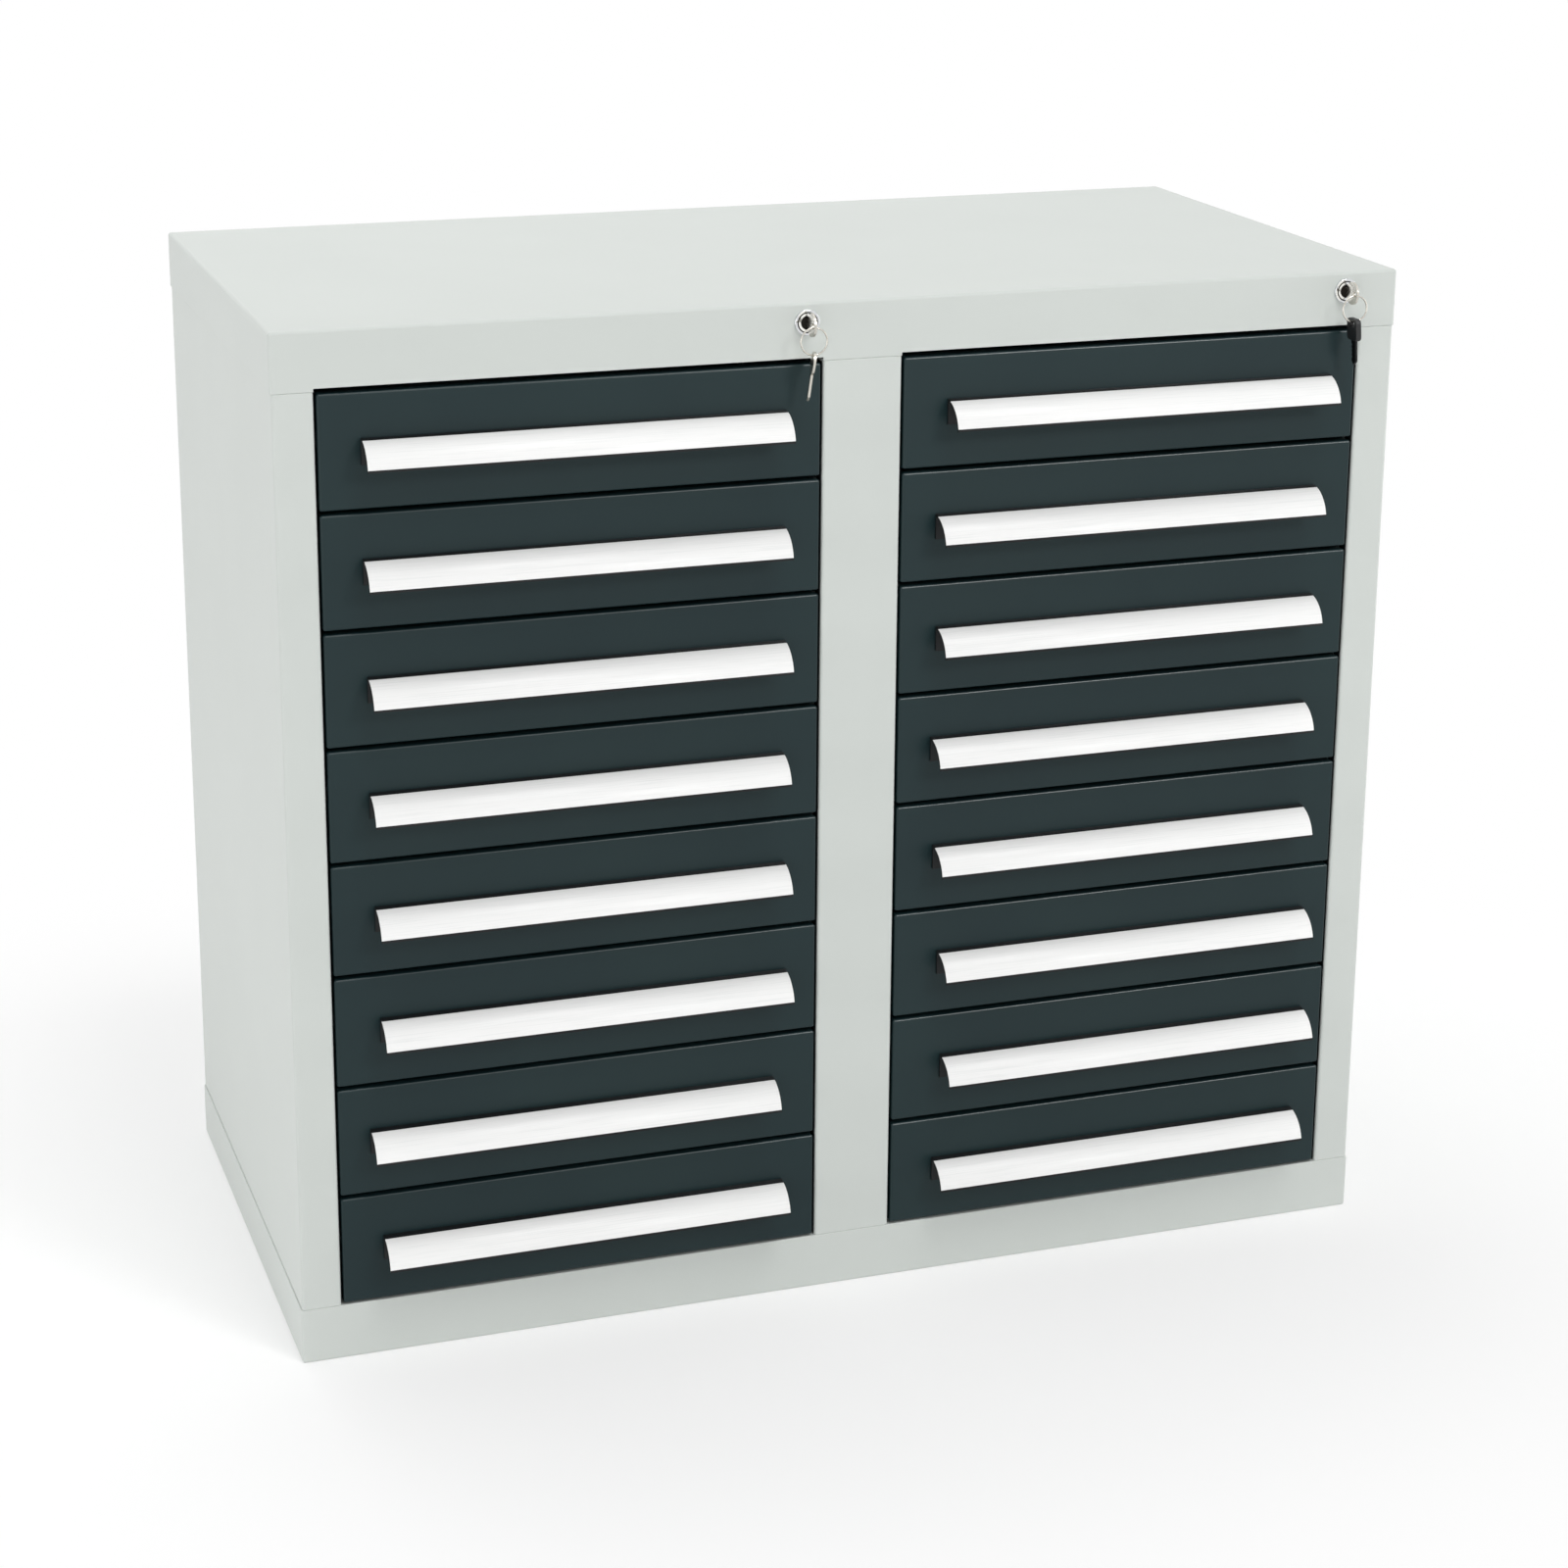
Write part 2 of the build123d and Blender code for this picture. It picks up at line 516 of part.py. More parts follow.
spare_metal = key_plate()
spare_blade, spare_head = headed_key()
for bank, centre in BANK_X.items():
    lock_x = centre + LOCK_LOCAL_X
    in_lock = Pos(lock_x, KEY_HOLE_Y, LOCK_Z) * Rot(90, 0, 0)
    on_ring = Pos(lock_x, KEY_HOLE_Y, SPARE_HOLE_Z) * Rot(0, SPARE_LEAN_ANGLE[bank], SPARE_TURN_ANGLE[bank])
    save(f"{bank}_bank_rails", *bank_rails(centre))
    save(f"{bank}_lock_body", lock_body(lock_x))
    save(f"{bank}_lock_nut", lock_nut(lock_x))
    save(f"{bank}_lock_plug", lock_plug(lock_x))
    save(f"{bank}_lock_cam", lock_cam(lock_x))
    save(f"{bank}_lock_key", in_lock * spare_metal)
    save(f"{bank}_key_ring", key_ring(lock_x))
    save(f"{bank}_locking_bar", *locking_bar(centre))
    if bank == "left":
        save("left_spare_key", on_ring * spare_metal)
    else:
        save("right_spare_key", on_ring * spare_blade)
        save("right_spare_key_head", on_ring * spare_head)
    for row in range(1, ROWS + 1):
        save(f"drawer_{bank}_{row}", *drawer(centre, row))
        save(f"grip_{bank}_{row}", *grip(centre, row, GRIP_STEP * GRIP_STEPS[bank][row - 1]))
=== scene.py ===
import logging
import math
from dataclasses import dataclass
from enum import Enum
from typing import Any, Iterable, Sequence

import bpy
from mathutils import Matrix, Vector


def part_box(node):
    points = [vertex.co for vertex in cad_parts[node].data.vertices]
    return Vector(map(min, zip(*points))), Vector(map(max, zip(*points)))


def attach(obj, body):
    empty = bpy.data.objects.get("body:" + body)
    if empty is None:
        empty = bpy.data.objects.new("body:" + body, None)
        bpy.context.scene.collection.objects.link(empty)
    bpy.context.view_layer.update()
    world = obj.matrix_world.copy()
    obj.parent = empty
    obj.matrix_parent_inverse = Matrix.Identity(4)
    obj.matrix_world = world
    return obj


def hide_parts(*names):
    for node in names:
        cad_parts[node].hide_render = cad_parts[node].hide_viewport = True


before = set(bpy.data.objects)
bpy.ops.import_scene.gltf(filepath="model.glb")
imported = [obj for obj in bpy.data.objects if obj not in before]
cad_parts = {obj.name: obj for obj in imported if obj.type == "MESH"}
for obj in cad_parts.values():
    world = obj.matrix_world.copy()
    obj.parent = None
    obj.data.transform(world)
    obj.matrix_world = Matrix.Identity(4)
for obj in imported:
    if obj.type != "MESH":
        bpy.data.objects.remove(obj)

# A drawer cabinet of powder-coated sheet steel: two banks of drawers with hooded grips, a lock over each.
# Metres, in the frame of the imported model: X to the right, Y to the back, Z up, the floor at zero.

MM = 0.001
ROWS = 8
SMOOTH_ANGLE = math.radians(40)
MERGE_DISTANCE = 0.002 * MM
WHITE = (1.0, 1.0, 1.0, 1.0)
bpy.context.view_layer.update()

# The sRGB curve is straight up to its knee and a power above it.
SRGB_KNEE = 0.04045
SRGB_SLOPE = 12.92
SRGB_OFFSET = 0.055
SRGB_POWER = 2.4

NodeSettings = dict[str | int, Any]
NodeLinks = dict[str | int, bpy.types.NodeSocket]

log = logging.getLogger("drawer_cabinet")


class Bank(Enum):
    """The two columns of drawers."""

    LEFT = "left"
    RIGHT = "right"


class Ray(Enum):
    """Kinds of ray that see the plain white studio instead of its light level."""

    CAMERA = "Is Camera Ray"
    GLOSSY = "Is Glossy Ray"
    TRANSMISSION = "Is Transmission Ray"


class LampUse(Enum):
    """What a lamp gives a surface."""

    FULL = "light and a mirror image"
    LIGHT = "light alone"
    GLEAM = "a mirror image alone"


def linear(hex_colour: str) -> tuple[float, float, float, float]:
    """Turn an sRGB hex colour into linear light.

    Args:
        hex_colour: six hex digits with a leading hash.

    Returns:
        Red, green, blue and an alpha of one.
    """
    values = [int(hex_colour[start:start + 2], 16) / 255 for start in (1, 3, 5)]
    curved = [((value + SRGB_OFFSET) / (1 + SRGB_OFFSET)) ** SRGB_POWER for value in values]
    light = [value / SRGB_SLOPE if value <= SRGB_KNEE else curve for value, curve in zip(values, curved)]
    return (*light, 1.0)


def per_metre(size_mm: float) -> float:
    """Texture scale that gives a pattern features of a real size in millimetres."""
    return 1.0 / (size_mm * MM)


def add_node(
    tree: bpy.types.NodeTree,
    kind: str,
    settings: NodeSettings | None = None,
    links: NodeLinks | None = None,
) -> bpy.types.Node:
    """Add one shader node.

    Args:
        tree: the node tree.
        kind: the node's type name.
        settings: values by attribute name, or by input name or number where the node has no such
            attribute; "stops" holds a ramp's positions and hex colours, lowest first.
        links: sockets by input name or number.

    Returns:
        The new node.
    """
    node = tree.nodes.new(kind)
    for key, value in (settings or {}).items():
        if key == "stops":
            for element, (position, hex_colour) in zip(node.color_ramp.elements, value):
                element.position = position
                element.color = linear(hex_colour)
        elif isinstance(key, str) and hasattr(node, key):
            setattr(node, key, value)
        else:
            node.inputs[key].default_value = value
    for key, socket in (links or {}).items():
        tree.links.new(socket, node.inputs[key])
    return node


def new_material(
    name: str, shader: NodeSettings
) -> tuple[bpy.types.Material, bpy.types.NodeTree, bpy.types.Node]:
    """Start a material with one principled shader.

    Args:
        name: the material's name.
        shader: constant values of the shader's sockets.

    Returns:
        The material, its node tree and the shader.
    """
    material = bpy.data.materials.new(name)
    material.use_nodes = True
    tree = material.node_tree
    tree.nodes.clear()
    principled = add_node(tree, "ShaderNodeBsdfPrincipled", shader)
    add_node(tree, "ShaderNodeOutputMaterial", links={"Surface": principled.outputs["BSDF"]})
    return material, tree, principled


@dataclass(frozen=True)
class PowderCoat:
    """Baked polyester powder on sheet steel: an even colour, a soft sheen and a fine orange peel."""

    name: str
    dark: str
    light: str
    roughness: float
    specular: float = 0.4
    ior: float = 1.5
    cloud_mm: float = 140.0
    cloud_detail: float = 3.0
    cloud_span: tuple[float, float] = (0.3, 0.7)
    # The real peel is under a millimetre; it is drawn a little coarser so that it shows in the render.
    peel_mm: float = 1.6
    peel_detail: float = 2.0
    peel_strength: float = 0.05
    peel_height: float = 0.2 * MM
    glossier: float = 0.04
    duller: float = 0.05

    def build(self) -> bpy.types.Material:
        """Make the material.

        Returns:
            The painted finish.
        """
        shader = {"Metallic": 0.0, "IOR": self.ior, "Specular IOR Level": self.specular}
        material, tree, principled = new_material(self.name, shader)
        place = add_node(tree, "ShaderNodeTexCoord").outputs["Object"]
        settings = {"Scale": per_metre(self.cloud_mm), "Detail": self.cloud_detail}
        cloud = add_node(tree, "ShaderNodeTexNoise", settings, {"Vector": place})
        stops = {"stops": list(zip(self.cloud_span, (self.dark, self.light)))}
        tint = add_node(tree, "ShaderNodeValToRGB", stops, {"Fac": cloud.outputs["Fac"]})
        tree.links.new(tint.outputs["Color"], principled.inputs["Base Color"])
        settings = {"Scale": per_metre(self.peel_mm), "Detail": self.peel_detail}
        peel = add_node(tree, "ShaderNodeTexNoise", settings, {"Vector": place}).outputs["Fac"]
        span = {"To Min": self.roughness - self.glossier, "To Max": self.roughness + self.duller}
        gloss = add_node(tree, "ShaderNodeMapRange", span, {"Value": peel})
        tree.links.new(gloss.outputs["Result"], principled.inputs["Roughness"])
        relief = {"Strength": self.peel_strength, "Distance": self.peel_height}
        bump = add_node(tree, "ShaderNodeBump", relief, {"Height": peel})
        tree.links.new(bump.outputs["Normal"], principled.inputs["Normal"])
        return material


@dataclass(frozen=True)
class LabelFilm:
    """White card behind a clear film: near white, with faint lines along it from the film's extrusion."""

    name: str = "label_card_under_film"
    card: str = "#F5F5F4"
    shade: str = "#ECEDEC"
    roughness: float = 0.42
    ior: float = 1.48
    specular: float = 0.3
    coat: float = 0.1
    coat_roughness: float = 0.15
    streak_mm: float = 0.9
    streak_detail: float = 2.0
    streak_span: tuple[float, float] = (0.25, 0.5)
    streak_strength: float = 0.06
    streak_height: float = 0.1 * MM
    stretch: float = 60.0

    def build(self) -> bpy.types.Material:
        """Make the material.

        Returns:
            The card as it looks through its film.
        """
        shader = {
            "Roughness": self.roughness,
            "IOR": self.ior,
            "Specular IOR Level": self.specular,
            "Coat Weight": self.coat,
            "Coat Roughness": self.coat_roughness,
        }
        material, tree, principled = new_material(self.name, shader)
        place = add_node(tree, "ShaderNodeTexCoord").outputs["Object"]
        drawn_out = {"Scale": (1 / self.stretch, 1.0, 1.0)}
        along = add_node(tree, "ShaderNodeMapping", drawn_out, {"Vector": place}).outputs["Vector"]
        settings = {"Scale": per_metre(self.streak_mm), "Detail": self.streak_detail}
        streak = add_node(tree, "ShaderNodeTexNoise", settings, {"Vector": along}).outputs["Fac"]
        stops = {"stops": list(zip(self.streak_span, (self.shade, self.card)))}
        tint = add_node(tree, "ShaderNodeValToRGB", stops, {"Fac": streak})
        tree.links.new(tint.outputs["Color"], principled.inputs["Base Color"])
        relief = {"Strength": self.streak_strength, "Distance": self.streak_height}
        bump = add_node(tree, "ShaderNodeBump", relief, {"Height": streak})
        tree.links.new(bump.outputs["Normal"], principled.inputs["Normal"])
        return material


@dataclass(frozen=True)
class ExtrudedPlastic:
    """Black extruded plastic: a dull sheen with die lines along the profile."""

    name: str = "black_extruded_profile"
    dark: str = "#0B0D0E"
    light: str = "#15181A"
    roughness: tuple[float, float] = (0.38, 0.52)
    ior: float = 1.53
    specular: float = 0.25
    line_mm: float = 0.5
    line_detail: float = 3.0
    line_span: tuple[float, float] = (0.3, 0.7)
    line_strength: float = 0.1
    line_height: float = 0.05 * MM
    stretch: float = 80.0

    def build(self) -> bpy.types.Material:
        """Make the material.

        Returns:
            The plastic of the grips and of the black strips that paint shade in the joints beside the fronts.
        """
        shader = {"IOR": self.ior, "Specular IOR Level": self.specular}
        material, tree, principled = new_material(self.name, shader)
        place = add_node(tree, "ShaderNodeTexCoord").outputs["Object"]
        drawn_out = {"Scale": (1 / self.stretch, 1.0, 1.0)}
        along = add_node(tree, "ShaderNodeMapping", drawn_out, {"Vector": place}).outputs["Vector"]
        settings = {"Scale": per_metre(self.line_mm), "Detail": self.line_detail}
        lines = add_node(tree, "ShaderNodeTexNoise", settings, {"Vector": along}).outputs["Fac"]
        stops = {"stops": list(zip(self.line_span, (self.dark, self.light)))}
        tint = add_node(tree, "ShaderNodeValToRGB", stops, {"Fac": lines})
        tree.links.new(tint.outputs["Color"], principled.inputs["Base Color"])
        span = {"To Min": self.roughness[0], "To Max": self.roughness[1]}
        gloss = add_node(tree, "ShaderNodeMapRange", span, {"Value": lines})
        tree.links.new(gloss.outputs["Result"], principled.inputs["Roughness"])
        relief = {"Strength": self.line_strength, "Distance": self.line_height}
        bump = add_node(tree, "ShaderNodeBump", relief, {"Height": lines})
        tree.links.new(bump.outputs["Normal"], principled.inputs["Normal"])
        return material


@dataclass(frozen=True)
class Metal:
    """A bare or plated metal, with marks of a real size that break up its gloss."""

    name: str
    dark: str
    light: str
    roughness: tuple[float, float]
    mark_mm: float
    mark_detail: float = 4.0
    mark_span: tuple[float, float] = (0.25, 0.75)
    stretch: tuple[float, float, float] = (1.0, 1.0, 1.0)
    spangle: bool = False

    def build(self) -> bpy.types.Material:
        """Make the material.

        Returns:
            The metal, in spangles where it was dipped and with fine marks elsewhere.
        """
        material, tree, principled = new_material(self.name, {"Metallic": 1.0})
        place = add_node(tree, "ShaderNodeTexCoord").outputs["Object"]
        turned = add_node(tree, "ShaderNodeMapping", {"Scale": self.stretch}, {"Vector": place})
        spot = {"Vector": turned.outputs["Vector"]}
        scale = {"Scale": per_metre(self.mark_mm)}
        if self.spangle:
            cells = add_node(tree, "ShaderNodeTexVoronoi", scale, spot)
            shares = add_node(tree, "ShaderNodeSeparateColor", links={"Color": cells.outputs["Color"]})
            marks = shares.outputs["Red"]
        else:
            settings = scale | {"Detail": self.mark_detail}
            marks = add_node(tree, "ShaderNodeTexNoise", settings, spot).outputs["Fac"]
        stops = {"stops": list(zip(self.mark_span, (self.dark, self.light)))}
        tint = add_node(tree, "ShaderNodeValToRGB", stops, {"Fac": marks})
        tree.links.new(tint.outputs["Color"], principled.inputs["Base Color"])
        span = {"To Min": self.roughness[0], "To Max": self.roughness[1]}
        gloss = add_node(tree, "ShaderNodeMapRange", span, {"Value": marks})
        tree.links.new(gloss.outputs["Result"], principled.inputs["Roughness"])
        return material


@dataclass(frozen=True)
class MouldedPlastic:
    """Injection-moulded plastic with a spark-eroded grain."""

    name: str
    dark: str
    light: str
    roughness: float = 0.45
    ior: float = 1.52
    grain_mm: float = 0.5
    grain_detail: float = 2.0
    grain_span: tuple[float, float] = (0.3, 0.7)
    grain_strength: float = 0.25
    grain_height: float = 0.05 * MM

    def build(self) -> bpy.types.Material:
        """Make the material.

        Returns:
            The moulded finish.
        """
        material, tree, principled = new_material(self.name, {"Roughness": self.roughness, "IOR": self.ior})
        place = add_node(tree, "ShaderNodeTexCoord").outputs["Object"]
        settings = {"Scale": per_metre(self.grain_mm), "Detail": self.grain_detail}
        grain = add_node(tree, "ShaderNodeTexNoise", settings, {"Vector": place}).outputs["Fac"]
        stops = {"stops": list(zip(self.grain_span, (self.dark, self.light)))}
        tint = add_node(tree, "ShaderNodeValToRGB", stops, {"Fac": grain})
        tree.links.new(tint.outputs["Color"], principled.inputs["Base Color"])
        relief = {"Strength": self.grain_strength, "Distance": self.grain_height}
        bump = add_node(tree, "ShaderNodeBump", relief, {"Height": grain})
        tree.links.new(bump.outputs["Normal"], principled.inputs["Normal"])
        return material


class Bench:
    """Small modelling steps, each acting on one selected object."""

    @staticmethod
    def clear() -> None:
        """Leave edit mode and deselect everything."""
        if bpy.context.object and bpy.context.object.mode != "OBJECT":
            bpy.ops.object.mode_set(mode="OBJECT")
        bpy.ops.object.select_all(action="DESELECT")

    @staticmethod
    def pick(piece: bpy.types.Object) -> None:
        """Make a piece the only selected and active object.

        Args:
            piece: the piece that the next operators act on.
        """
        Bench.clear()
        piece.select_set(True)
        bpy.context.view_layer.objects.active = piece

    @staticmethod
    def named(name: str) -> bpy.types.Object:
        """Name the primitive that was just added and move its place into its mesh.

        Args:
            name: the piece's name.

        Returns:
            The primitive, at the origin.
        """
        piece = bpy.context.object
        piece.name = name
        piece.data.name = name
        bpy.ops.object.transform_apply(location=True, rotation=True, scale=True)
        return piece

    @staticmethod
    def block(name: str, low: Sequence[float], high: Sequence[float]) -> bpy.types.Object:
        """Add a cube primitive between two corners.

        Args:
            name: the piece's name.
            low: the lowest corner.
            high: the highest corner.

        Returns:
            The piece, to be shaped further.
        """
        Bench.clear()
        middle = [(a + b) / 2 for a, b in zip(low, high)]
        size = [b - a for a, b in zip(low, high)]
        bpy.ops.mesh.primitive_cube_add(size=1.0, location=middle, scale=size)
        return Bench.named(name)

    @staticmethod
    def cut(piece: bpy.types.Object, point: Sequence[float], normal: Sequence[float], fill: bool) -> None:
        """Cut away what lies on the normal's side of a plane.

        Args:
            piece: the piece to cut.
            point: a point on the plane.
            normal: the side that is taken away.
            fill: whether the cut is closed.
        """
        Bench.pick(piece)
        bpy.ops.object.mode_set(mode="EDIT")
        bpy.ops.mesh.select_all(action="SELECT")
        bpy.ops.mesh.bisect(plane_co=point, plane_no=normal, use_fill=fill, clear_outer=True)
        bpy.ops.object.mode_set(mode="OBJECT")

    @staticmethod
    def modify(piece: bpy.types.Object, kind: str, **settings: Any) -> None:
        """Add a modifier and apply it.

        Args:
            piece: the piece to change.
            kind: the modifier's type name.
            **settings: the modifier's values.
        """
        Bench.pick(piece)
        modifier = piece.modifiers.new(kind.lower(), kind)
        for key, value in settings.items():
            setattr(modifier, key, value)
        bpy.ops.object.modifier_apply(modifier=modifier.name)

    @staticmethod
    def smooth(piece: bpy.types.Object) -> None:
        """Shade a piece smooth, apart from its sharp edges."""
        Bench.pick(piece)
        bpy.ops.object.shade_smooth_by_angle(angle=SMOOTH_ANGLE)

    @staticmethod
    def soften(piece: bpy.types.Object, width: float, segments: int = 2) -> None:
        """Round the sharp edges and shade the rest smooth.

        Args:
            piece: the piece to finish.
            width: how far the rounding reaches from the edge.
            segments: facets across the rounding.
        """
        limit = {"limit_method": "ANGLE", "angle_limit": SMOOTH_ANGLE}
        Bench.modify(piece, "BEVEL", width=width, segments=segments, **limit)
        Bench.smooth(piece)

    @staticmethod
    def merge(piece: bpy.types.Object, others: Iterable[bpy.types.Object]) -> None:
        """Fuse other pieces into a piece.

        Args:
            piece: the piece that stays.
            others: the pieces that go into it.
        """
        for other in others:
            Bench.modify(piece, "BOOLEAN", operation="UNION", object=other, solver="EXACT")
            bpy.data.objects.remove(other)

    @staticmethod
    def outward(piece: bpy.types.Object) -> None:
        """Merge doubled points and turn every face outwards.

        Args:
            piece: the piece to clean.
        """
        Bench.pick(piece)
        bpy.ops.object.mode_set(mode="EDIT")
        bpy.ops.mesh.select_all(action="SELECT")
        bpy.ops.mesh.remove_doubles(threshold=MERGE_DISTANCE)
        bpy.ops.mesh.normals_make_consistent(inside=False)
        bpy.ops.object.mode_set(mode="OBJECT")

    @staticmethod
    def copy(master: bpy.types.Object, name: str, move: Matrix) -> bpy.types.Object:
        """Copy a master with its own mesh.

        Args:
            master: the modelled piece.
            name: the copy's name.
            move: the copy's place, which goes into its mesh.

        Returns:
            The copy.
        """
        twin = bpy.data.objects.new(name, master.data.copy())
        bpy.context.scene.collection.objects.link(twin)
        twin.data.transform(move)
        return twin

    @staticmethod
    def join(name: str, parts: Sequence[bpy.types.Object]) -> bpy.types.Object:
        """Make one piece of several loose parts.

        Args:
            name: the piece's name.
            parts: what it is made of.

        Returns:
            The joined piece.
        """
        Bench.pick(parts[0])
        for part in parts[1:]:
            part.select_set(True)
        bpy.ops.object.join()
        parts[0].name = name
        parts[0].data.name = name
        return parts[0]


def dress(piece: bpy.types.Object, material: bpy.types.Material) -> None:
    """Give a piece one material all over."""
    piece.data.materials.clear()
    piece.data.materials.append(material)


def dress_nodes(nodes: Iterable[str], material: bpy.types.Material) -> None:
    """Give CAD nodes one material all over.

    Args:
        nodes: the nodes' names.
        material: their finish.
    """
    for node in nodes:
        dress(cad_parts[node], material)
        log.info("dressed %s in %s", node, material.name)


def place_piece(piece: bpy.types.Object, body: str, material: bpy.types.Material) -> None:
    """Dress a new piece and let it ride on a body.

    Args:
        piece: the modelled piece.
        body: the body that carries it.
        material: its finish.
    """
    dress(piece, material)
    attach(piece, body)
    log.info("built %s on %s", piece.name, body)


def drawer_nodes() -> list[str]:
    """Names of the sixteen drawers' CAD nodes."""
    return [f"drawer_{bank.value}_{row}" for bank in Bank for row in range(1, ROWS + 1)]


@dataclass
class Carcass:
    """Cover, base, side panels, partition, back and rails."""

    paint: bpy.types.Material
    zinc: bpy.types.Material
    black: bpy.types.Material
    # Thin black strips in the openings' sides paint the shade deep in the joints beside the fronts.
    shade_strip_thickness: float = 0.6 * MM
    shade_strip_start: float = 2.6 * MM
    shade_strip_end: float = 13.5 * MM
    shade_strip_gap: float = 1.0 * MM
    shade_strip_rounding: float = 0.25 * MM
    rivet_radius: float = 3.0 * MM
    rivet_height: float = 0.8 * MM
    rivet_inset: float = 40.0 * MM
    rivet_segments: int = 24
    rivet_rings: int = 12
    rail_sheet: float = 1.2 * MM

    def dress(self) -> None:
        """Paint the sheet parts and plate what is bare."""
        panels = ("left_side_panel", "right_side_panel", "centre_partition", "back_panel")
        dress_nodes(("top_cover", "base_pan", *panels), self.paint)
        dress_nodes(("bar_guides", *(f"{bank.value}_bank_rails" for bank in Bank)), self.zinc)

    def walls(self) -> list[tuple[float, int]]:
        """Places of the openings' side walls.

        Returns:
            The X of each wall and the side its opening lies on, one to the right or minus one to the left.
        """
        post_low, post_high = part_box("centre_partition")
        left_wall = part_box("left_side_panel")[1].x
        right_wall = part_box("right_side_panel")[0].x
        return [(left_wall, 1), (post_low.x, -1), (post_high.x, 1), (right_wall, -1)]

    def edge(self) -> None:
        """Line the openings' sides with thin black strips: painted shade that darkens the joints beside the
        fronts.
        """
        low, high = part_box("centre_partition")
        near, far = low.y + self.shade_strip_start, low.y + self.shade_strip_end
        tall = high.z - low.z - 2 * self.shade_strip_gap
        master = Bench.block("shade_strip_master", (0, near, 0), (self.shade_strip_thickness, far, tall))
        Bench.soften(master, self.shade_strip_rounding)
        for count, (wall, side) in enumerate(self.walls(), start=1):
            x = wall if side > 0 else wall - self.shade_strip_thickness
            move = Matrix.Translation((x, 0, low.z + self.shade_strip_gap))
            # Each black strip is painted shade in the joint beside the fronts.
            strip = Bench.copy(master, f"opening_shade_strip_{count}", move)
            place_piece(strip, "cabinet", self.black)
        bpy.data.objects.remove(master)

    def rivet(self) -> bpy.types.Object:
        """Model a flat-headed rivet.

        Returns:
            The rivet, its seat at the origin and its head towards +X.
        """
        Bench.clear()
        sizes = {"segments": self.rivet_segments, "ring_count": self.rivet_rings}
        bpy.ops.mesh.primitive_uv_sphere_add(radius=self.rivet_radius, **sizes)
        head = Bench.named("rivet_master")
        Bench.cut(head, (0, 0, 0), (-1, 0, 0), fill=True)
        head.data.transform(Matrix.Diagonal((self.rivet_height / self.rivet_radius, 1, 1, 1)))
        Bench.outward(head)
        Bench.smooth(head)
        return head

    def rivet_rails(self) -> None:
        """Rivet each rail to its wall at both ends."""
        low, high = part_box("left_bank_rails")
        master = self.rivet()
        pitch = (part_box("drawer_left_1")[0].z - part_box("drawer_left_8")[0].z) / (ROWS - 1)
        lowest = low.z + (high.z - low.z - (ROWS - 1) * pitch) / 2
        for count, (wall, side) in enumerate(self.walls(), start=1):
            turn = Matrix.Identity(4) if side > 0 else Matrix.Rotation(math.pi, 4, "Z")
            rivets = []
            for row in range(ROWS):
                for y in (low.y + self.rivet_inset, high.y - self.rivet_inset):
                    spot = Vector((wall + side * self.rail_sheet, y, lowest + row * pitch))
                    rivets.append(Bench.copy(master, "rivet", Matrix.Translation(spot) @ turn))
            group = Bench.join(f"rail_rivets_{count}", rivets)
            place_piece(group, "cabinet", self.zinc)
        bpy.data.objects.remove(master)

    def build(self) -> None:
        """Dress the carcass and add its small parts."""
        self.dress()
        self.edge()
        self.rivet_rails()


